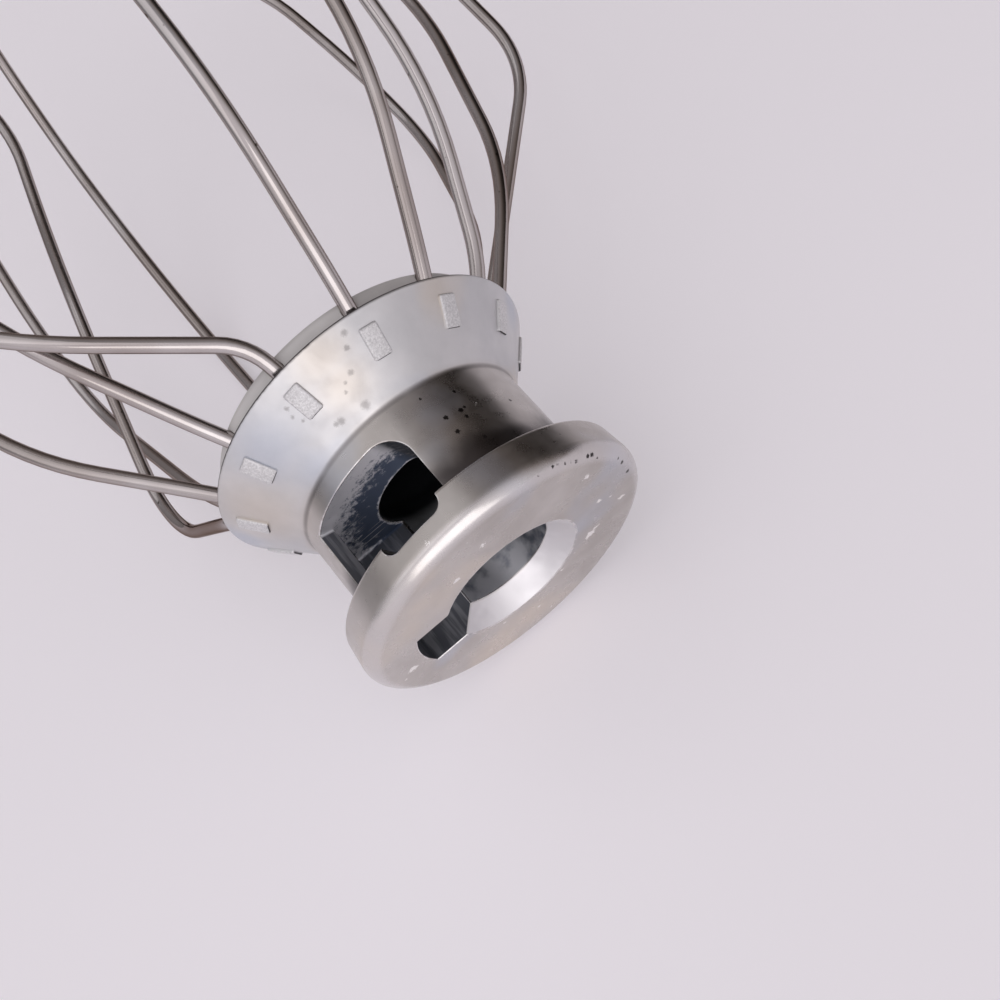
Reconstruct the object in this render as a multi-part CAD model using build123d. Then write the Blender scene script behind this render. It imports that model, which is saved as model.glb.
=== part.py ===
from build123d import *
import os
from math import atan2, cos, degrees, radians, sin, tan

# Stand mixer wire whisk: a cast hub that locks on the mixer's shaft, six wire loops and the plug that holds them.
# The whisk's axis is Z, with +Z out of the flange. The origin is on the axis, level with the flange's back.
# The wires hang down, and the slot that the shaft's cross pin enters by points along +X. Sizes are in millimetres.

# Shaft socket: bore, countersink and the path of the cross pin
shaft_bore_d = 13.4
shaft_bore_depth = 24.5
countersink_d = 17.8
countersink_depth = 2.6
pin_slot_w = 8.4
pin_reach = 12.8
pin_room_h = 10.2
pin_turn = 75.0
window_start = 27.0
window_corner_r = 3.4
lock_notch_w = 7.8
lock_notch_depth = 1.9
lock_notch_corner_r = 1.4

# Flange
flange_d = 38.0
flange_back_d = 36.8
flange_t = 5.6
flange_edge_r = 2.0
flange_back_edge_r = 0.6

# Neck and bell
neck_d = 29.6
neck_len = 12.8
bell_len = 8.0
rim_d = 43.0
bell_wall = 1.8
crease_r = 1.2
rim_edge_r = 0.3
bell_cavity_depth = 7.0
boss_wall = 2.0

# Raised pads on the bell, one over each wire end
pad_len = 3.8
pad_w = 2.2
pad_h = 0.35
pad_from_rim = 4.2

# Plug
seat_gap = 0.05
plug_proud = 3.5
plug_edge_r = 1.2
plug_head_gap = 0.5

# Wires: corners of a wire's line by their distance from the axis and their drop below the rim
loop_count = 6
wire_d = 1.8
wire_end_inset = 6.2
exit_drop = 4.6
exit_bend = 3.0
shoulder_r = 35.4
shoulder_drop = 21.2
belly_r = 45.0
belly_top_drop = 54.7
belly_bottom_drop = 75.7
flank_r = 41.5
flank_drop = 103.0
bottom_r = 30.0
bottom_drop = 127.0
tip_r = 13.0
tip_drop = 139.5
loop_pitch = 2.1
bend_share = 0.45

# How use has bent each wire: its turn about the axis at the shoulder, the belly and the flank, in degrees, then how far
# it stands out at the shoulder and below it, and how much lower its shoulder lies. The order runs clockwise from the slot.
wire_bends = (
    (2, 3, 3, 0, 0, 0),
    (-1, 2, 2, 0, 0, 0),
    (29, 45, 45, 4, 6, 0),
    (1, 2, 2, 0, 0, 0),
    (1, 4, 4, 0, 0, 0),
    (10, 30, 30, -3, 0, 0),
    (1, -5, -5, 0, 2, 0),
    (26, 28, 28, 17, 7, 17),
    (33, 28, 28, 2, 8, 1),
    (-1, 1, 1, 0, 0, 0),
    (3, 6, 6, 1, 5, 0),
    (24, 26, 46, 5, -15, -1),
)
bend_left_at_bottom = 0.5

# Radii and levels that follow from the sizes
bore_r = shaft_bore_d / 2
flange_r = flange_d / 2
neck_r = neck_d / 2
rim_r = rim_d / 2
wire_r = wire_d / 2
boss_r = bore_r + boss_wall
face_level = flange_t
bore_end_level = face_level - shaft_bore_depth
boss_level = bore_end_level - boss_wall
pin_floor_level = -pin_room_h
crease_level = -neck_len
rim_level = crease_level - bell_len
cavity_level = rim_level + bell_cavity_depth
plug_level = rim_level - plug_proud

# The bell's cone and the places of the wires in it
cone_slope = (rim_r - neck_r) / bell_len
cone_angle = degrees(atan2(rim_r - neck_r, bell_len))
cone_cos = cos(radians(cone_angle))
rim_inner_r = rim_r - bell_wall / cone_cos
wire_rim_r = rim_inner_r - (wire_r + seat_gap) / cone_cos
wire_count = 2 * loop_count
wire_step = 360 / wire_count


def revolved(corners):
    """Solid of revolution about Z from (radius, level, corner radius) rows."""
    points = [(radius, 0, level) for radius, level, corner_r in corners]
    rounding = [corner_r for radius, level, corner_r in corners]
    return revolve(make_face(FilletPolyline(*points, radius=rounding, close=True)), Axis.Z)


def round_bar(radius, top, bottom):
    """Cylinder about Z between two levels."""
    return Pos(0, 0, (top + bottom) / 2) * Cylinder(radius, top - bottom)


def radial_bar(width, reach, top, bottom):
    """Square bar from the axis out along +X."""
    return Pos(reach / 2, 0, (top + bottom) / 2) * Box(reach, width, top - bottom)


def sector(start, end, reach, top, bottom):
    """Slice of a disc between two directions about Z."""
    section = Plane.XZ * Pos(reach / 2, (top + bottom) / 2) * Rectangle(reach, top - bottom)
    return Rot(0, 0, start) * revolve(section, Axis.Z, end - start)


def on_cone(azimuth, radius, level):
    """Place on a cone of the bell, with local X down the cone and local Z out of it."""
    return Rot(0, 0, azimuth) * Pos(radius, 0, level) * Rot(0, 90 - cone_angle, 0)


def wire_azimuth(number):
    """Direction in which a wire leaves the hub. The slot lies midway between two wires."""
    return -wire_step * (number + 1 / 2)


def shaft_socket():
    """Bore with its countersink, turned so that its seam lies away from the slot."""
    mouth = Pos(0, 0, face_level - countersink_depth / 2) * Cone(bore_r, countersink_d / 2, countersink_depth)
    return Rot(0, 0, 180) * (round_bar(bore_r, face_level, bore_end_level) + mouth)


def pin_path():
    """Way of the shaft's cross pin: down the entry slot, round under the flange and up into the lock notch."""
    entry = radial_bar(pin_slot_w, pin_reach, face_level, pin_floor_level)
    entry &= round_bar(pin_reach, face_level, pin_floor_level)
    turn = sector(-pin_turn, 0, pin_reach, 0, pin_floor_level)
    window = sector(-pin_turn, -window_start, flange_r, 0, pin_floor_level)
    window_end = radial_bar(pin_slot_w, flange_r, 0, pin_floor_level)
    low_corner = window_end.edges().filter_by(Axis.X).group_by(Axis.Z)[0].sort_by(Axis.Y)[0]
    window_end = fillet(low_corner, window_corner_r)
    notch = radial_bar(lock_notch_w, flange_r, lock_notch_depth, 0)
    notch = fillet(notch.edges().filter_by(Axis.X).group_by(Axis.Z)[-1], lock_notch_corner_r)
    return entry + turn + window + Rot(0, 0, -pin_turn) * (window_end + notch)


def hub():
    """Cast hub: flange, neck, bell, pads over the wire ends and the shaft socket."""
    body = revolved((
        (0, face_level, 0),
        (flange_r, face_level, flange_edge_r),
        (flange_back_d / 2, 0, flange_back_edge_r),
        (neck_r, 0, 0),
        (neck_r, crease_level, crease_r),
        (rim_r, rim_level, rim_edge_r),
        (rim_inner_r, rim_level, 0),
        (rim_inner_r - bell_cavity_depth * cone_slope, cavity_level, 0),
        (boss_r, cavity_level, 0),
        (boss_r, boss_level, 0),
        (0, boss_level, 0),
    ))
    pad_rise = pad_from_rim * cone_cos
    pad = Box(pad_len, pad_w, 2 * pad_h)
    for number in range(wire_count):
        body += on_cone(wire_azimuth(number), rim_r - pad_rise * cone_slope, rim_level + pad_rise) * pad
    return body - shaft_socket() - pin_path()


def plug():
    """Plug pressed into the bell: its grooves hold the wire ends against the bell's cone."""
    head_level = cavity_level - plug_head_gap
    edge_r = rim_inner_r - seat_gap / cone_cos
    body = revolved((
        (0, boss_level, 0),
        (boss_r + seat_gap, boss_level, 0),
        (boss_r + seat_gap, head_level, 0),
        (edge_r - (head_level - rim_level) * cone_slope, head_level, 0),
        (edge_r, rim_level, 0),
        (edge_r, plug_level, plug_edge_r),
        (0, plug_level, 0),
    ))
    groove_len = 2 * (bell_cavity_depth + plug_proud)
    groove_w = wire_d + 2 * seat_gap
    groove = Rot(0, 90, 0) * Cylinder(groove_w / 2, groove_len)
    groove += Pos(0, 0, wire_r) * Box(groove_len, groove_w, wire_d)
    for number in range(wire_count):
        body -= on_cone(wire_azimuth(number), wire_rim_r, rim_level) * groove
    return body


def leg(number, rise):
    """Corner points of one wire, from its end in the hub to the tip of its loop."""
    shoulder_turn, belly_turn, flank_turn, shoulder_out, belly_out, shoulder_down = wire_bends[number]
    corners = (
        (wire_rim_r - wire_end_inset * cone_slope, -wire_end_inset, 0),
        (wire_rim_r + exit_drop * cone_slope, exit_drop, 0),
        (shoulder_r + shoulder_out, shoulder_drop + shoulder_down, shoulder_turn),
        (belly_r + belly_out, belly_top_drop, belly_turn),
        (belly_r + belly_out, belly_bottom_drop, (belly_turn + flank_turn) / 2),
        (flank_r + belly_out, flank_drop - rise / 2, flank_turn),
        (bottom_r + belly_out * bend_left_at_bottom, bottom_drop - rise, flank_turn * bend_left_at_bottom),
        (tip_r, tip_drop - rise, 0),
    )
    points = []
    for radius, drop, turn in corners:
        direction = radians(wire_azimuth(number) + turn)
        points.append(Vector(radius * cos(direction), radius * sin(direction), rim_level - drop))
    return points


def bend_radii(points):
    """Bend radius at each corner: as large as its runs allow, and tighter where the wire leaves the hub."""
    runs = [end - start for start, end in zip(points, points[1:])]
    pairs = list(zip(runs, runs[1:]))
    tangents = [bend_share * min(first.length, second.length) for first, second in pairs]
    tangents[0] = tangents[-1] = exit_bend
    turns = [radians(first.get_angle(second)) for first, second in pairs]
    return [tangent / tan(turn / 2) for tangent, turn in zip(tangents, turns)]


def wire_loop(number):
    """One wire: down from the hub, round the tip and back up to the opposite side of the hub."""
    rise = number * loop_pitch
    points = leg(number, rise) + leg(number + loop_count, rise)[::-1]
    path = FilletPolyline(*points, radius=bend_radii(points))
    return sweep(Plane(path @ 0, z_dir=path % 0) * Circle(wire_r), path=path)


os.makedirs("parts", exist_ok=True)
export_step(hub(), "parts/hub.step")
export_step(plug(), "parts/plug.step")
for index in range(loop_count):
    export_step(wire_loop(index), f"parts/wire_loop_{index + 1}.step")
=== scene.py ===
from math import hypot, radians

import bmesh
import bpy
from mathutils import Matrix, Vector


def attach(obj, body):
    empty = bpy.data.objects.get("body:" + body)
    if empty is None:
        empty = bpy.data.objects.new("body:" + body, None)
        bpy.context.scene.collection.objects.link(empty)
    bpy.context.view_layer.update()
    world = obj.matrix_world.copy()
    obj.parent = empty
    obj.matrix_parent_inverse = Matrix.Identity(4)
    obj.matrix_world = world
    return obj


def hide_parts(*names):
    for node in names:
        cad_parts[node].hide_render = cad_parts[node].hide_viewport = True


# Stand mixer wire whisk on a pale table: cast hub, plug and six steel wire loops, in the part's own frame.
# The whisk's axis is Z, with +Z out of the flange. Sizes are in metres, and MM turns millimetres into them.

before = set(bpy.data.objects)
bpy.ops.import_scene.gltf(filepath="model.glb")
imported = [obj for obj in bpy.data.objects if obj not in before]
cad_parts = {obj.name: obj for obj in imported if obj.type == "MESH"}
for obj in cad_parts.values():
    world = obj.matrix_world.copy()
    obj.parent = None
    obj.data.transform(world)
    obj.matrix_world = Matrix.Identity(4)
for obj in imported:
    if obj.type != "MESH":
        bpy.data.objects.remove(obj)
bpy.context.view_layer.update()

MM = 0.001
LOOP_COUNT = 6

# Levels and radii of the hub, used to tell its surfaces apart
FACE_LEVEL = 5.6 * MM
BAND_LEVEL = 3.6 * MM
SINK_FOOT_LEVEL = 3.0 * MM
PIN_FLOOR_LEVEL = -10.2 * MM
CREASE_LEVEL = -12.8 * MM
RIM_LEVEL = -20.8 * MM
BORE_R = 6.7 * MM
FROST_START_R = 7.5 * MM
SINK_R = 8.9 * MM
PIN_REACH = 12.8 * MM
NECK_R = 14.8 * MM
BAND_R = 17.0 * MM
RIM_R = 21.5 * MM
SLOT_HALF_W = 4.2 * MM
CONE_SLOPE = (RIM_R - NECK_R) / (CREASE_LEVEL - RIM_LEVEL)
SKIN = 0.06 * MM

# Edges of the casting: how far they are softened, and which count as sharp
EDGE_ROUND = 0.16 * MM
PAD_ROUND = 0.26 * MM
FLAT_ANGLE = radians(0.3)
SHARP_ANGLE = radians(32)
SMOOTH_ANGLE = radians(50)
TURNED_SHARE = 0.06
FOOT_SHARE = 0.9
MERGE_DISTANCE = 0.0005 * MM

# Colours of the casting: pairs run from a dark to a light patch
FLANGE_GREYS = ((0.47, 0.44, 0.415, 1), (0.58, 0.55, 0.525, 1))
BELL_GREYS = ((0.61, 0.61, 0.62, 1), (0.70, 0.695, 0.70, 1))
PAD_GREYS = ((0.64, 0.635, 0.64, 1), (0.86, 0.855, 0.86, 1))
SINK_GREYS = ((0.68, 0.67, 0.68, 1), (0.78, 0.77, 0.78, 1))
# Socket walls darkened by oxide and by painted shade
WALL_OXIDE_AND_SHADE_GREYS = ((0.13, 0.137, 0.155, 1), (0.25, 0.256, 0.275, 1))
RUBBED_GREYS = ((0.14, 0.155, 0.19, 1), (0.52, 0.525, 0.55, 1))
WARM_BLOOM = (0.74, 0.65, 0.54, 1)
BLUE_BLOOM = (0.52, 0.57, 0.67, 1)
# Painted highlight on the flange's rounded edge
HIGHLIGHT_BAND_GREY = (0.76, 0.74, 0.75, 1)
# Painted shade along the feet of the pads
PAD_FOOT_SHADE = (0.12, 0.115, 0.12, 1)
STAIN_BROWN = (0.22, 0.205, 0.20, 1)
PIT_BLACK = (0.05, 0.045, 0.045, 1)
CHIP_WHITE = (0.90, 0.88, 0.86, 1)
WORN_GREY = (0.74, 0.725, 0.72, 1)
# Painted shade under the flange and in the bell's crease, and a darker line along the rim
PAINTED_SHADE_DARK = (0.085, 0.075, 0.075, 1)
# Socket floor darkened by oxide and by painted shade
FLOOR_OXIDE_AND_SHADE_BLUE = (0.11, 0.14, 0.20, 1)
FROST_WHITE = (0.84, 0.84, 0.86, 1)
SCRATCH_GREY = (0.72, 0.72, 0.74, 1)
BORE_GREY = (0.50, 0.51, 0.52, 1)
# Painted shade deep in the bore
BORE_DEPTH_SHADE = (0.03, 0.032, 0.036, 1)

# Colours of the plug and the wires
PLUG_GREYS = ((0.62, 0.605, 0.595, 1), (0.72, 0.705, 0.695, 1))
PLUG_PIT = (0.08, 0.07, 0.07, 1)
STEEL_GREYS = ((0.57, 0.54, 0.535, 1), (0.42, 0.375, 0.355, 1))
STEEL_PIT = (0.14, 0.12, 0.11, 1)
STEEL_EDGE = (0.30, 0.24, 0.21, 1)

# How strongly a finish or the painted highlight shows on the casting, and how smooth each metal is, from its
# smoothest to its dullest
BLOOM_SHARE = 0.45
HIGHLIGHT_BAND_SHARE = 0.4
STAIN_SHARE = 0.5
GLITTER_HEIGHT = 1.6
HUB_ROUGHNESS = (0.25, 0.36)
PLUG_ROUGHNESS = (0.55, 0.7)
STEEL_ROUGHNESS = (0.09, 0.17)

# Marks of wear on the side that the photograph shows, as x, y, z and reach in millimetres
NECK_PITS = (
    (-7.9, -12.5, -10.1, 0.18), (-7.1, -13.0, -7.7, 0.28), (-5.3, -13.8, -7.7, 0.28),
    (-7.1, -13.0, -6.7, 0.22), (-5.3, -13.8, -5.6, 0.30), (-7.1, -13.0, -3.5, 0.22),
    (-12.1, -8.5, -7.1, 0.20), (-4.6, -14.1, -11.2, 0.16), (-7.6, -12.7, -7.9, 0.18),
)
BELL_STAINS = (
    (-2.9, -20.2, -19.5, 0.35), (-2.1, -19.4, -18.4, 0.30), (-0.8, -18.0, -16.7, 0.32),
    (0.3, -17.7, -16.3, 0.20), (0.9, -17.2, -15.7, 0.20), (0.2, -15.7, -13.9, 0.45),
    (3.2, -15.7, -14.3, 0.40), (3.8, -15.7, -14.4, 0.30), (6.7, -18.1, -18.2, 0.25),
    (6.8, -17.4, -17.4, 0.20), (6.2, -16.8, -16.6, 0.20),
)
EDGE_NICKS = (
    (-8.2, -16.3, 5.2, 0.16), (-10.0, -15.4, 5.0, 0.22), (-10.5, -15.0, 5.1, 0.18),
    (-11.2, -14.3, 5.2, 0.22), (-11.8, -13.7, 5.3, 0.16), (-12.3, -13.1, 5.3, 0.20),
    (-13.7, -11.9, 5.2, 0.25), (-14.2, -11.4, 5.2, 0.30), (-14.5, -10.4, 5.4, 0.16),
    (-16.6, -6.5, 5.4, 0.16), (-16.8, -5.2, 5.5, 0.25), (-17.0, -2.4, 5.6, 0.25),
)
FACE_CHIPS = (
    (-12.4, -9.0, 5.6, 0.35), (-15.1, 2.4, 5.6, 0.40), (-10.1, 5.0, 5.6, 0.55), (-11.0, 4.6, 5.6, 0.35),
    (-9.6, 5.4, 5.6, 0.30), (0.4, -13.1, 5.6, 0.35), (4.7, -10.4, 5.6, 0.45), (14.7, 1.2, 5.6, 0.50),
    (4.5, -18.5, 3.7, 0.30), (-12.7, -1.2, 5.6, 0.30), (-8.9, -11.9, -7.8, 0.18),
)
WARM_PATCHES = ((0.7, -20.1, -19.1, 2.8), (0.6, -17.8, -16.4, 2.6), (16.5, -7.4, -16.7, 4.5))
BLUE_PATCHES = ((11.0, -15.2, -17.5, 3.5),)

# Table, light and camera
TABLE_TILT = radians(18.5)
TABLE_TOUCH = Vector((0, 19.6 * MM, 3.0 * MM))
TABLE_SIZE = 3.0
TABLE_COLOUR = (0.71, 0.683, 0.720, 1)
TABLE_GLOW = 0.36
ROOM_COLOUR = (0.74, 0.705, 0.735, 1)
BRIGHT_SIDE = Vector((0.28, -0.50, 0.82)).normalized()
DIM_SIDE = Vector((-0.88, 0.06, -0.47)).normalized()
DIM_COLOUR = (0.60, 0.50, 0.46, 1)
CAMERA_PLACE = (3.126 * MM, -140.726 * MM, 57.882 * MM)
CAMERA_TURN = (radians(-60.21), radians(-37.497), radians(163.941))
CAMERA_LENS_MM = 49.41
CAMERA_SENSOR_MM = 36.0
CAMERA_NEAR = 10 * MM


# Node helpers
def feed(tree, socket, value):
    """Input set to a value or linked to a socket."""
    if isinstance(value, bpy.types.NodeSocket):
        tree.links.new(value, socket)
    else:
        socket.default_value = value


def add_node(tree, kind, inputs=None, **settings):
    """New shader node with its settings, and each input set to a value or linked to a socket."""
    made = tree.nodes.new("ShaderNode" + kind)
    for name, value in settings.items():
        setattr(made, name, value)
    for name, value in (inputs or {}).items():
        feed(tree, made.inputs[name], value)
    return made


def maths(tree, operation, first, second=0.0, clamp=False):
    """Result of a sum of two values or sockets."""
    return add_node(tree, "Math", {0: first, 1: second}, operation=operation, use_clamp=clamp).outputs[0]


def vectors(tree, operation, first, second):
    """Vector from a sum of two vectors or sockets."""
    return add_node(tree, "VectorMath", {0: first, 1: second}, operation=operation).outputs[0]


def scaled(tree, vector, scale):
    """Vector times a value."""
    return add_node(tree, "VectorMath", {0: vector, "Scale": scale}, operation="SCALE").outputs[0]


def product(tree, *values):
    """All values multiplied."""
    total = values[0]
    for value in values[1:]:
        total = maths(tree, "MULTIPLY", total, value)
    return total


def largest(tree, *values):
    """Largest of the values."""
    total = values[0]
    for value in values[1:]:
        total = maths(tree, "MAXIMUM", total, value)
    return total


def ramp(tree, value, low, high, to_low=0.0, to_high=1.0):
    """Value carried smoothly from one range to another and held at its ends."""
    inputs = {"Value": value, "From Min": low, "From Max": high, "To Min": to_low, "To Max": to_high}
    return add_node(tree, "MapRange", inputs, interpolation_type="SMOOTHSTEP").outputs["Result"]


def mixed(tree, share, first, second):
    """Colour between two colours."""
    return add_node(tree, "Mix", {0: share, 6: first, 7: second}, data_type="RGBA").outputs[2]


def noise(tree, place, scale, detail=3.0, roughness=0.55):
    """Cloudy value from 0 to 1."""
    inputs = {"Vector": place, "Scale": scale, "Detail": detail, "Roughness": roughness}
    return add_node(tree, "TexNoise", inputs).outputs["Fac"]


def stretched(tree, place, shares):
    """Place with its axes squeezed, which draws a pattern out along them."""
    return add_node(tree, "Mapping", {"Vector": place, "Scale": shares}).outputs[0]


def attribute(tree, name):
    """Value that a piece's own mesh carries."""
    return add_node(tree, "Attribute", attribute_name=name).outputs["Fac"]


def new_group(name, inputs, outputs):
    """Empty node group with named sockets, and its inner ends."""
    tree = bpy.data.node_groups.new(name, "ShaderNodeTree")
    for socket, kind, value in inputs:
        made = tree.interface.new_socket(socket, in_out="INPUT", socket_type=kind)
        if value is not None:
            made.default_value = value
    for socket, kind in outputs:
        tree.interface.new_socket(socket, in_out="OUTPUT", socket_type=kind)
    return tree, tree.nodes.new("NodeGroupInput").outputs, tree.nodes.new("NodeGroupOutput").inputs


def use_group(tree, group, inputs):
    """Group placed in a material with its own values."""
    made = tree.nodes.new("ShaderNodeGroup")
    made.node_tree = group
    for name, value in inputs.items():
        feed(tree, made.inputs[name], value)
    return made.outputs


# Effects on the metals
def make_speckle():
    """Scattered spots of uneven size: pits, chips and specks."""
    inputs = [
        ("Place", "NodeSocketVector", None), ("Scale", "NodeSocketFloat", 500.0),
        ("Share", "NodeSocketFloat", 0.1), ("Size", "NodeSocketFloat", 0.3),
    ]
    tree, given, out = new_group("speckle", inputs, [("Mask", "NodeSocketFloat")])
    wobble = {"Vector": given["Place"], "Scale": given["Scale"], "Detail": 4.0, "Roughness": 0.7}
    shift = scaled(tree, add_node(tree, "TexNoise", wobble).outputs["Color"], 1.1)
    place = vectors(tree, "ADD", scaled(tree, given["Place"], given["Scale"]), shift)
    cells = add_node(tree, "TexVoronoi", {"Vector": place, "Scale": 1.0}).outputs
    chance = add_node(tree, "SeparateColor", {"Color": cells["Color"]}).outputs
    chosen = maths(tree, "LESS_THAN", chance["Red"], given["Share"])
    reach = product(tree, given["Size"], ramp(tree, chance["Green"], 0.0, 1.0, 0.4, 1.0))
    inside = ramp(tree, maths(tree, "SUBTRACT", reach, cells["Distance"]), -0.02, 0.06)
    tree.links.new(product(tree, chosen, inside), out["Mask"])
    return tree


def make_mark():
    """One mark round a spot, with a hard or soft edge."""
    inputs = [
        ("Place", "NodeSocketVector", None), ("Spot", "NodeSocketVector", None),
        ("Reach", "NodeSocketFloat", 0.3 * MM), ("Soft", "NodeSocketFloat", 0.15),
    ]
    tree, given, out = new_group("mark", inputs, [("Mask", "NodeSocketFloat")])
    ends = {0: given["Place"], 1: given["Spot"]}
    distance = add_node(tree, "VectorMath", ends, operation="DISTANCE").outputs["Value"]
    share = maths(tree, "DIVIDE", distance, given["Reach"])
    outer = maths(tree, "ADD", 1.0, given["Soft"])
    inner = maths(tree, "SUBTRACT", 1.0, given["Soft"])
    tree.links.new(ramp(tree, share, outer, inner), out["Mask"])
    return tree


def make_grain():
    """Fine unevenness of a worn metal skin, as a height and as a value for roughness."""
    inputs = [
        ("Place", "NodeSocketVector", None),
        ("Fine", "NodeSocketFloat", 5000.0), ("Broad", "NodeSocketFloat", 500.0),
    ]
    outputs = [("Height", "NodeSocketFloat"), ("Cloud", "NodeSocketFloat")]
    tree, given, out = new_group("metal_grain", inputs, outputs)
    fine = noise(tree, given["Place"], given["Fine"], detail=2.0)
    broad = noise(tree, given["Place"], given["Broad"], detail=4.0)
    for name, fine_share, broad_share in (("Height", 0.03, 0.7), ("Cloud", 0.1, 0.9)):
        total = maths(tree, "ADD", product(tree, fine, fine_share), product(tree, broad, broad_share))
        tree.links.new(total, out[name])
    return tree


speckle = make_speckle()
mark = make_mark()
grain = make_grain()


def spots(tree, place, scale, share, size):
    """Mask of scattered spots."""
    return use_group(tree, speckle, {"Place": place, "Scale": scale, "Share": share, "Size": size})["Mask"]


def marked(tree, place, rows, soft=0.15):
    """Mask of all marks of a list."""
    masks = []
    for x, y, z, reach in rows:
        inputs = {"Place": place, "Spot": (x * MM, y * MM, z * MM), "Reach": reach * MM, "Soft": soft}
        masks.append(use_group(tree, mark, inputs)["Mask"])
    return largest(tree, *masks)


def shaken(tree, place, scale, shift):
    """Place moved about by a fine noise, so that a mark's outline is uneven."""
    inputs = {"Vector": place, "Scale": scale, "Detail": 3.0, "Roughness": 0.7}
    shake = vectors(tree, "SUBTRACT", add_node(tree, "TexNoise", inputs).outputs["Color"], (0.5, 0.5, 0.5))
    return vectors(tree, "ADD", place, scaled(tree, shake, shift))


def new_material(name):
    """Material with an empty Principled shader, and its tree, shader and object coordinates."""
    made = bpy.data.materials.new(name)
    made.use_nodes = True
    tree = made.node_tree
    place = add_node(tree, "TexCoord").outputs["Object"]
    return made, tree, tree.nodes["Principled BSDF"], place


def set_relief(tree, shader, height, strength, distance):
    """Fine relief of a surface."""
    bump = add_node(tree, "Bump", {"Height": height, "Strength": strength, "Distance": distance})
    tree.links.new(bump.outputs["Normal"], shader.inputs["Normal"])


# Finish of the cast hub
def hub_zones(tree, place):
    """Where a spot lies on the hub: y, level and radius, and masks of bell, band, pads and countersink."""
    axes = add_node(tree, "SeparateXYZ", {0: place}).outputs
    level = axes["Z"]
    squares = maths(tree, "ADD", product(tree, axes["X"], axes["X"]), product(tree, axes["Y"], axes["Y"]))
    radius = maths(tree, "SQRT", squares)
    outer = ramp(tree, radius, BAND_R, BAND_R + 0.9 * MM)
    below_crease = maths(tree, "SUBTRACT", CREASE_LEVEL, level)
    cone_r = maths(tree, "ADD", product(tree, below_crease, CONE_SLOPE), NECK_R)
    raised = ramp(tree, maths(tree, "SUBTRACT", radius, cone_r), 0.20 * MM, 0.30 * MM)
    within = ramp(tree, radius, SINK_R, SINK_R - 0.1 * MM)
    above_foot = ramp(tree, level, SINK_FOOT_LEVEL - 0.1 * MM, SINK_FOOT_LEVEL)
    below_face = ramp(tree, level, FACE_LEVEL - 0.01 * MM, FACE_LEVEL - 0.1 * MM)
    return {
        "y": axes["Y"],
        "level": level,
        "radius": radius,
        "bell": ramp(tree, level, CREASE_LEVEL + 0.4 * MM, CREASE_LEVEL - 0.8 * MM),
        "band": product(tree, outer, ramp(tree, level, BAND_LEVEL, BAND_LEVEL + 0.6 * MM)),
        "pad": product(tree, raised, ramp(tree, level, CREASE_LEVEL - 1.5 * MM, CREASE_LEVEL - 2.0 * MM)),
        "sink": product(tree, within, above_foot, below_face),
    }


def cast_skin(tree, place, zone, glitter):
    """Warm grey flange, cooler bell, faint blooms on both, a painted highlight on the flange's rounded edge,
    and glittering pads with painted shade along their feet.
    """
    cloud = ramp(tree, noise(tree, place, scale=90.0, detail=4.0), 0.35, 0.68)
    colour = mixed(tree, zone["bell"], mixed(tree, cloud, *FLANGE_GREYS), mixed(tree, cloud, *BELL_GREYS))
    tint = noise(tree, place, scale=60.0, detail=2.0)
    warm = largest(tree, ramp(tree, tint, 0.56, 0.70), marked(tree, place, WARM_PATCHES, soft=0.9))
    blue = largest(tree, ramp(tree, tint, 0.44, 0.32), marked(tree, place, BLUE_PATCHES, soft=0.9))
    colour = mixed(tree, product(tree, warm, BLOOM_SHARE), colour, WARM_BLOOM)
    colour = mixed(tree, product(tree, blue, BLOOM_SHARE), colour, BLUE_BLOOM)
    # Painted highlight along the flange's rounded edge
    colour = mixed(tree, product(tree, zone["band"], HIGHLIGHT_BAND_SHARE), colour, HIGHLIGHT_BAND_GREY)
    colour = mixed(tree, zone["pad"], colour, mixed(tree, ramp(tree, glitter, 0.32, 0.72), *PAD_GREYS))
    # Painted shade along the feet of the pads
    return mixed(tree, attribute(tree, "pad_foot_shade"), colour, PAD_FOOT_SHADE)


def stained(tree, place, zone, patches, colour):
    """Stains on the bell, pits on the neck, nicks on the flange: as seen in front, scattered behind."""
    behind = ramp(tree, zone["y"], -2.0 * MM, 2.0 * MM)
    frayed = shaken(tree, place, scale=4200.0, shift=0.65 * MM)
    stains = spots(tree, place, scale=1500.0, share=0.45, size=0.45)
    stain_clusters = product(tree, behind, ramp(tree, patches, 0.58, 0.64))
    stains = product(tree, stains, zone["bell"], stain_clusters)
    stains = largest(tree, stains, marked(tree, frayed, BELL_STAINS, soft=0.6))
    colour = mixed(tree, product(tree, stains, STAIN_SHARE), colour, STAIN_BROWN)
    pits = spots(tree, place, scale=850.0, share=0.05, size=0.36)
    below_flange = ramp(tree, zone["level"], -0.5 * MM, -1.0 * MM)
    fewer_on_bell = ramp(tree, zone["bell"], 0.0, 1.0, 1.0, 0.2)
    pits = product(tree, pits, behind, below_flange, fewer_on_bell)
    nicks = spots(tree, place, scale=2400.0, share=0.35, size=0.38)
    nick_clusters = product(tree, behind, ramp(tree, patches, 0.56, 0.62))
    nicks = product(tree, nicks, zone["band"], nick_clusters)
    seen = largest(tree, marked(tree, frayed, NECK_PITS), marked(tree, frayed, EDGE_NICKS))
    return mixed(tree, largest(tree, pits, nicks, seen), colour, PIT_BLACK)


def chip_mask(tree, place, zone):
    """White chips, nearly all of them on the face and the countersink."""
    on_face = ramp(tree, zone["level"], FACE_LEVEL - 0.4 * MM, FACE_LEVEL - 0.1 * MM)
    scattered = spots(tree, place, scale=900.0, share=0.07, size=0.20)
    scattered = product(tree, scattered, largest(tree, zone["sink"], on_face))
    frayed = shaken(tree, place, scale=2400.0, shift=1.7 * MM)
    return largest(tree, scattered, marked(tree, frayed, FACE_CHIPS))


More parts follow.
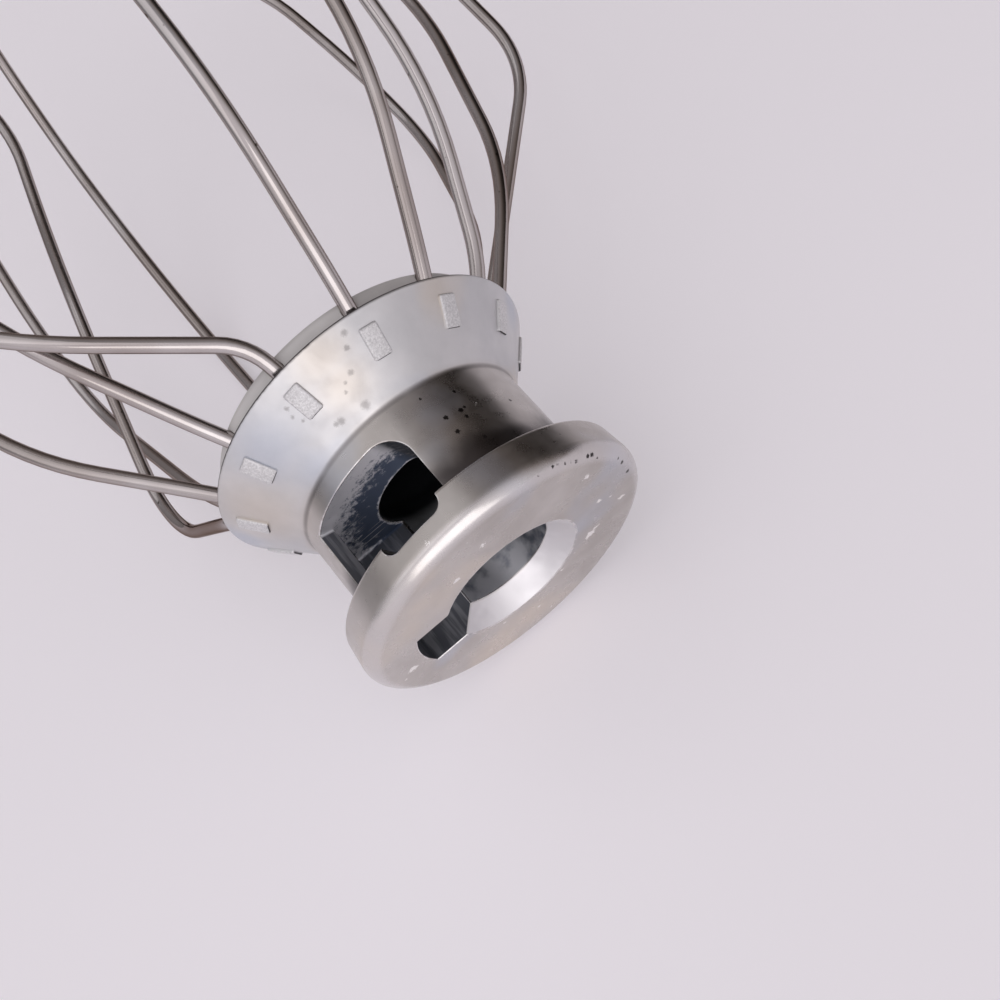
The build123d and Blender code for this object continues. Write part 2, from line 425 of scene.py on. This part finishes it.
def painted_shade_mask(tree, zone, patches):
    """Painted shade under the flange and in the crease of the bell, and a darker line along its rim."""
    level = zone["level"]
    uneven = product(tree, maths(tree, "SUBTRACT", patches, 0.5), 4.0 * MM)
    under = ramp(tree, maths(tree, "ADD", level, uneven), -6.0 * MM, -2.6 * MM, 0.0, 0.9)
    below_flange = ramp(tree, level, 0.2 * MM, 0.1 * MM)
    at_neck = ramp(tree, zone["radius"], NECK_R + 0.6 * MM, NECK_R + 0.2 * MM)
    corner = product(tree, under, below_flange, at_neck)
    from_crease = maths(tree, "ABSOLUTE", maths(tree, "SUBTRACT", level, CREASE_LEVEL + 0.1 * MM))
    line = ramp(tree, from_crease, 0.45 * MM, 0.05 * MM, 0.0, 0.5)
    crease = product(tree, line, ramp(tree, patches, 0.3, 0.5, 0.5, 1.0))
    edge = ramp(tree, level, RIM_LEVEL + 0.36 * MM, RIM_LEVEL + 0.18 * MM)
    rim = product(tree, edge, ramp(tree, patches, 0.25, 0.45, 0.5, 0.95))
    return largest(tree, corner, crease, rim)


def socket_oxide_and_shade(tree, place, zone):
    """Walls darkened by streaked oxide and painted shade, and a floor darkened blue by oxide and painted
    shade, frosted towards its edges and scratched by the pin.
    """
    streaks = noise(tree, stretched(tree, place, (1.0, 1.0, 0.08)), scale=1500.0, detail=3.0)
    wall = mixed(tree, ramp(tree, streaks, 0.45, 0.65), *WALL_OXIDE_AND_SHADE_GREYS)
    outwards = ramp(tree, zone["radius"], FROST_START_R, NECK_R, 0.0, 0.40)
    at_bore = ramp(tree, zone["radius"], BORE_R + 0.7 * MM, BORE_R + 0.1 * MM, 0.0, 0.3)
    edging = maths(tree, "ADD", outwards, at_bore)
    crumbs = noise(tree, place, scale=1100.0, detail=6.0, roughness=0.75)
    frost = ramp(tree, maths(tree, "ADD", crumbs, edging), 0.60, 0.80)
    floor = mixed(tree, frost, FLOOR_OXIDE_AND_SHADE_BLUE, FROST_WHITE)
    drag = noise(tree, stretched(tree, place, (0.04, 1.0, 1.0)), scale=3500.0, detail=1.0)
    scratches = product(tree, ramp(tree, drag, 0.64, 0.70), ramp(tree, zone["y"], -5.0 * MM, -1.0 * MM))
    floor = mixed(tree, scratches, floor, SCRATCH_GREY)
    on_floor = ramp(tree, zone["level"], PIN_FLOOR_LEVEL + 0.4 * MM, PIN_FLOOR_LEVEL + 0.1 * MM)
    return mixed(tree, on_floor, wall, floor)


def bore_colour(tree, place, zone):
    """Wall of the bore: rubbed near its mouth, plain grey below it, and painted shade deep under the pin's
    floor.
    """
    cloud = noise(tree, place, scale=210.0, detail=4.0)
    colour = mixed(tree, ramp(tree, cloud, 0.40, 0.58), *RUBBED_GREYS)
    colour = mixed(tree, ramp(tree, zone["level"], 0.3 * MM, -2.0 * MM), colour, BORE_GREY)
    # Painted shade deep in the bore, below the pin's floor
    deep = ramp(tree, zone["level"], PIN_FLOOR_LEVEL + 1.0 * MM, PIN_FLOOR_LEVEL - 1.0 * MM)
    return mixed(tree, deep, colour, BORE_DEPTH_SHADE)


def cast_aluminium():
    """Burnished casting: satin grey with stains, pits, chips and bright worn edges, a painted highlight and
    painted shade, and a socket darkened by oxide and painted shade.
    """
    made, tree, shader, place = new_material("cast_aluminium")
    zone = hub_zones(tree, place)
    skin = use_group(tree, grain, {"Place": place, "Fine": 6000.0, "Broad": 420.0})
    patches = noise(tree, place, scale=150.0, detail=3.0)
    glitter = noise(tree, place, scale=4600.0, detail=5.0, roughness=0.7)
    socket = attribute(tree, "socket")
    bore = attribute(tree, "bore")
    chips = chip_mask(tree, place, zone)
    rub = ramp(tree, noise(tree, place, scale=800.0, detail=3.0), 0.35, 0.6)
    worn = product(tree, attribute(tree, "worn_edge"), rub)

    colour = stained(tree, place, zone, patches, cast_skin(tree, place, zone, glitter))
    colour = mixed(tree, zone["sink"], colour, mixed(tree, ramp(tree, patches, 0.4, 0.6), *SINK_GREYS))
    colour = mixed(tree, chips, colour, CHIP_WHITE)
    colour = mixed(tree, worn, colour, WORN_GREY)
    # Painted shade under the flange and in the bell's crease, and a darker line along the rim
    colour = mixed(tree, painted_shade_mask(tree, zone, patches), colour, PAINTED_SHADE_DARK)
    # Socket darkened by oxide and by painted shade
    colour = mixed(tree, socket, colour, socket_oxide_and_shade(tree, place, zone))
    # Bore with painted shade deep below the pin's floor
    colour = mixed(tree, bore, colour, bore_colour(tree, place, zone))
    tree.links.new(colour, shader.inputs["Base Color"])

    # Rougher on the bell, in the socket and on the pads, smoother on rubbed and worn edges
    rough = ramp(tree, skin["Cloud"], 0.3, 0.7, *HUB_ROUGHNESS)
    dull = largest(tree, socket, bore, zone["sink"])
    coarse = largest(tree, chips, zone["pad"])
    for mask, change in ((zone["bell"], 0.22), (dull, 0.2), (zone["band"], -0.07), (coarse, 0.2)):
        rough = maths(tree, "ADD", rough, product(tree, mask, change))
    rough = maths(tree, "SUBTRACT", rough, product(tree, worn, 0.1), True)
    tree.links.new(rough, shader.inputs["Roughness"])
    grit = product(tree, zone["pad"], product(tree, glitter, GLITTER_HEIGHT))
    height = maths(tree, "ADD", skin["Height"], grit)
    set_relief(tree, shader, height, strength=0.4, distance=0.05 * MM)
    shader.inputs["Metallic"].default_value = 1.0
    return made


# Finishes of the plug and the wires
def plug_aluminium():
    """Plain casting of the plug, dulled by a pale bloom."""
    made, tree, shader, place = new_material("plug_aluminium")
    skin = use_group(tree, grain, {"Place": place, "Fine": 5000.0, "Broad": 600.0})
    bloom = noise(tree, place, scale=120.0, detail=4.0)
    colour = mixed(tree, ramp(tree, bloom, 0.3, 0.7), *PLUG_GREYS)
    colour = mixed(tree, spots(tree, place, scale=800.0, share=0.05, size=0.3), colour, PLUG_PIT)
    tree.links.new(colour, shader.inputs["Base Color"])
    tree.links.new(ramp(tree, skin["Cloud"], 0.3, 0.7, *PLUG_ROUGHNESS), shader.inputs["Roughness"])
    set_relief(tree, shader, skin["Height"], strength=0.3, distance=0.04 * MM)
    shader.inputs["Metallic"].default_value = 0.3
    return made


def drawn_steel():
    """Polished stainless wire with faint drawing lines along it and a brownish bloom."""
    made, tree, shader, place = new_material("drawn_steel")
    lines = noise(tree, stretched(tree, place, (1.0, 1.0, 0.06)), scale=5000.0, detail=2.0)
    skin = use_group(tree, grain, {"Place": place, "Fine": 4000.0, "Broad": 300.0})
    bloom = noise(tree, place, scale=45.0, detail=3.0)
    colour = mixed(tree, ramp(tree, bloom, 0.35, 0.65), *STEEL_GREYS)
    colour = mixed(tree, spots(tree, place, scale=1400.0, share=0.03, size=0.3), colour, STEEL_PIT)
    tree.links.new(colour, shader.inputs["Base Color"])
    tree.links.new(ramp(tree, skin["Cloud"], 0.3, 0.7, *STEEL_ROUGHNESS), shader.inputs["Roughness"])
    height = maths(tree, "ADD", product(tree, lines, 0.5), product(tree, skin["Height"], 0.5))
    set_relief(tree, shader, height, strength=0.25, distance=0.02 * MM)
    shader.inputs["Metallic"].default_value = 1.0
    shader.inputs["Specular Tint"].default_value = STEEL_EDGE
    return made


# Pieces
def joined_copy(node):
    """Mesh being shaped, with a solid's faces joined at their edges."""
    shape = bmesh.new()
    shape.from_mesh(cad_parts[node].data)
    bmesh.ops.remove_doubles(shape, verts=shape.verts, dist=MERGE_DISTANCE)
    return shape


def turned_normals(mesh):
    """Normals that follow the axis on turned faces, so that a round wall shades evenly."""
    sides = [[] for vertex in mesh.vertices]
    for face in mesh.polygons:
        out = Vector((face.center.x, face.center.y, 0)).normalized()
        turned = abs(face.normal.cross(out).z) < TURNED_SHARE
        for number in face.vertices:
            normal = face.normal.copy()
            if turned:
                spot = mesh.vertices[number].co
                normal = Vector((spot.x, spot.y, 0)).normalized() * face.normal.dot(out)
                normal.z = face.normal.z
            sides[number].append((face.index, normal, face.area))
    normals = []
    for face in mesh.polygons:
        for number in face.vertices:
            own = next(normal for index, normal, area in sides[number] if index == face.index)
            near = [
                normal * area for index, normal, area in sides[number] if own.angle(normal, 0) < SMOOTH_ANGLE
            ]
            normals.append(sum(near, Vector()).normalized())
    mesh.normals_split_custom_set(normals)


def finish_piece(shape, name, node, material):
    """Smooth object from a shaped mesh, standing for a solid."""
    for face in shape.faces:
        face.smooth = True
        face.material_index = 0
    for edge in shape.edges:
        edge.smooth = not edge.is_manifold or edge.calc_face_angle() < SHARP_ANGLE
    mesh = bpy.data.meshes.new(name)
    shape.to_mesh(mesh)
    shape.free()
    mesh.materials.append(material)
    piece = bpy.data.objects.new(name, mesh)
    bpy.context.scene.collection.objects.link(piece)
    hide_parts(node)
    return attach(piece, "root")


def in_bore(spot):
    """Whether a spot lies on the wall of the shaft's bore."""
    return hypot(spot.x, spot.y) < BORE_R + SKIN and spot.z < SINK_FOOT_LEVEL + SKIN


def in_socket(spot):
    """Whether a spot lies on the walls of the slot or of the pin's room."""
    radius = hypot(spot.x, spot.y)
    in_room = radius < NECK_R - SKIN and PIN_FLOOR_LEVEL - SKIN < spot.z < SKIN
    beside_slot = abs(spot.y) < SLOT_HALF_W + SKIN and spot.x > 0 and radius < PIN_REACH + SKIN
    return in_room or (beside_slot and 0 < spot.z < FACE_LEVEL - SKIN)


def is_sharp(edge):
    """Whether an edge is an outer corner of the hub that use would wear."""
    return edge.is_manifold and edge.is_convex and edge.calc_face_angle() > SHARP_ANGLE


def on_pad(edge):
    """Whether an edge lies on one of the bell's raised pads."""
    middle = (edge.verts[0].co + edge.verts[1].co) / 2
    cone_r = NECK_R + (CREASE_LEVEL - middle.z) * CONE_SLOPE
    return RIM_LEVEL + 0.5 * MM < middle.z < CREASE_LEVEL and hypot(middle.x, middle.y) > cone_r + SKIN


def above_bell(edge):
    """Whether an edge lies on the neck, the flange or the socket."""
    return min(vertex.co.z for vertex in edge.verts) > CREASE_LEVEL


def soften(shape, edges, width):
    """Edges rounded to a width, and the new faces."""
    made = bmesh.ops.bevel(shape, geom=edges, offset=width, offset_type="OFFSET", segments=2, profile=0.5,
                           affect="EDGES", clamp_overlap=False, material=-1)
    return made["faces"]


def hub_piece(material):
    """Cast hub with softened edges, its socket, its worn edges and the painted shade at its pads' feet
    marked for the material.
    """
    shape = joined_copy("hub")
    bmesh.ops.dissolve_limit(shape, angle_limit=FLAT_ANGLE, verts=shape.verts, edges=shape.edges)
    socket = shape.faces.layers.float.new("socket")
    bore = shape.faces.layers.float.new("bore")
    worn = shape.faces.layers.float.new("worn_edge")
    for face in shape.faces:
        middle = face.calc_center_median()
        reach = max(hypot(vertex.co.x, vertex.co.y) for vertex in face.verts)
        face[bore] = float(in_bore(middle) and reach < BORE_R + SKIN)
        face[socket] = float(in_socket(middle) and not face[bore] and reach < NECK_R + SKIN)
    # Bevel faces at the pads' feet, which the material paints dark as shade
    foot = shape.faces.layers.float.new("pad_foot_shade")
    pad_edges = [edge for edge in shape.edges if is_sharp(edge) and on_pad(edge)]
    for face in soften(shape, pad_edges, PAD_ROUND):
        face[foot] = float(face.normal.z > FOOT_SHARE)
    upper_edges = [edge for edge in shape.edges if is_sharp(edge) and above_bell(edge)]
    for face in soften(shape, upper_edges, EDGE_ROUND):
        face[socket] = face[bore] = 0.0
        face[worn] = 1.0
    piece = finish_piece(shape, "cast_hub", "hub", material)
    turned_normals(piece.data)
    return piece


# Table, light and camera
def table_paint():
    """Pale paint. Only the eye and reflections see its glow, so it isn't sampled as a lamp."""
    made = bpy.data.materials.new("table_paint")
    made.use_nodes = True
    made.cycles.emission_sampling = "NONE"
    tree = made.node_tree
    shader = tree.nodes["Principled BSDF"]
    shader.inputs["Base Color"].default_value = TABLE_COLOUR
    shader.inputs["Roughness"].default_value = 0.5
    shader.inputs["Emission Color"].default_value = TABLE_COLOUR
    rays = add_node(tree, "LightPath").outputs
    seen = largest(tree, rays["Is Camera Ray"], rays["Is Glossy Ray"])
    tree.links.new(product(tree, seen, TABLE_GLOW), shader.inputs["Emission Strength"])
    behind = product(tree, add_node(tree, "NewGeometry").outputs["Backfacing"], rays["Is Camera Ray"])
    clear = add_node(tree, "BsdfTransparent").outputs[0]
    shown = add_node(tree, "MixShader", {0: behind, 1: shader.outputs[0], 2: clear}).outputs[0]
    tree.links.new(shown, tree.nodes["Material Output"].inputs["Surface"])
    return made


def table_top():
    """Pale table that the whisk rests on by its flange and its wires. The table's back isn't seen."""
    shape = bmesh.new()
    bmesh.ops.create_grid(shape, x_segments=1, y_segments=1, size=TABLE_SIZE)
    upright = Matrix.Rotation(radians(90) + TABLE_TILT, 3, "X")
    bmesh.ops.rotate(shape, verts=shape.verts, cent=(0, 0, 0), matrix=upright)
    bmesh.ops.translate(shape, verts=shape.verts, vec=TABLE_TOUCH)
    mesh = bpy.data.meshes.new("table_top")
    shape.to_mesh(mesh)
    shape.free()
    table = bpy.data.objects.new("table_top", mesh)
    bpy.context.scene.collection.objects.link(table)
    mesh.materials.append(table_paint())


def facing(tree, towards, side):
    """How far a direction points to a side of the room."""
    return add_node(tree, "VectorMath", {0: towards, 1: side}, operation="DOT_PRODUCT").outputs["Value"]


def room():
    """Soft room light: broad and bright out of the flange, dim on one side of the wires."""
    world = bpy.data.worlds.new("room")
    bpy.context.scene.world = world
    world.use_nodes = True
    tree = world.node_tree
    towards = add_node(tree, "TexCoord").outputs["Generated"]
    bright = facing(tree, towards, BRIGHT_SIDE)
    dim = facing(tree, towards, DIM_SIDE)
    around = ramp(tree, dim, 0.55, 0.97, 0.43, 0.04)
    level = maths(tree, "ADD", around, ramp(tree, bright, 0.0, 0.95, 0.0, 0.8))
    seen = add_node(tree, "LightPath").outputs["Is Camera Ray"]
    unseen = maths(tree, "SUBTRACT", 1.0, seen)
    warm = product(tree, ramp(tree, dim, 0.3, 0.9), unseen)
    shade = tree.nodes["Background"]
    tree.links.new(mixed(tree, warm, ROOM_COLOUR, DIM_COLOUR), shade.inputs["Color"])
    tree.links.new(maths(tree, "ADD", product(tree, level, unseen), seen), shade.inputs["Strength"])


def soft_lamp(name, towards, distance, size, power, colour):
    """Square soft lamp that faces the hub."""
    lamp = bpy.data.lights.new(name, "AREA")
    lamp.shape = "SQUARE"
    lamp.size = size
    lamp.energy = power
    lamp.color = colour
    made = bpy.data.objects.new(name, lamp)
    back = Vector(towards).normalized()
    made.location = back * distance
    made.rotation_mode = "QUATERNION"
    made.rotation_quaternion = back.to_track_quat("Z", "Y")
    bpy.context.scene.collection.objects.link(made)


def photo_camera():
    """Camera at the photograph's place, turn and lens."""
    camera = bpy.data.cameras.new("camera")
    camera.lens = CAMERA_LENS_MM
    camera.sensor_width = CAMERA_SENSOR_MM
    camera.clip_start = CAMERA_NEAR
    made = bpy.data.objects.new("camera", camera)
    made.location = CAMERA_PLACE
    made.rotation_euler = CAMERA_TURN
    bpy.context.scene.collection.objects.link(made)
    bpy.context.scene.camera = made


hub_piece(cast_aluminium())
finish_piece(joined_copy("plug"), "wire_plug", "plug", plug_aluminium())
steel = drawn_steel()
for number in range(1, LOOP_COUNT + 1):
    loop = f"wire_loop_{number}"
    finish_piece(joined_copy(loop), f"steel_wire_{number}", loop, steel)
table_top()
room()
soft_lamp("window", towards=(0.20, -0.58, 0.79), distance=0.7, size=0.7, power=1.35,
          colour=(1.0, 0.985, 0.98))
soft_lamp("ceiling", towards=(0.45, -0.80, -0.40), distance=0.9, size=1.2, power=1.7,
          colour=(1.0, 0.98, 0.99))
photo_camera()
bpy.context.scene.view_settings.view_transform = "Standard"
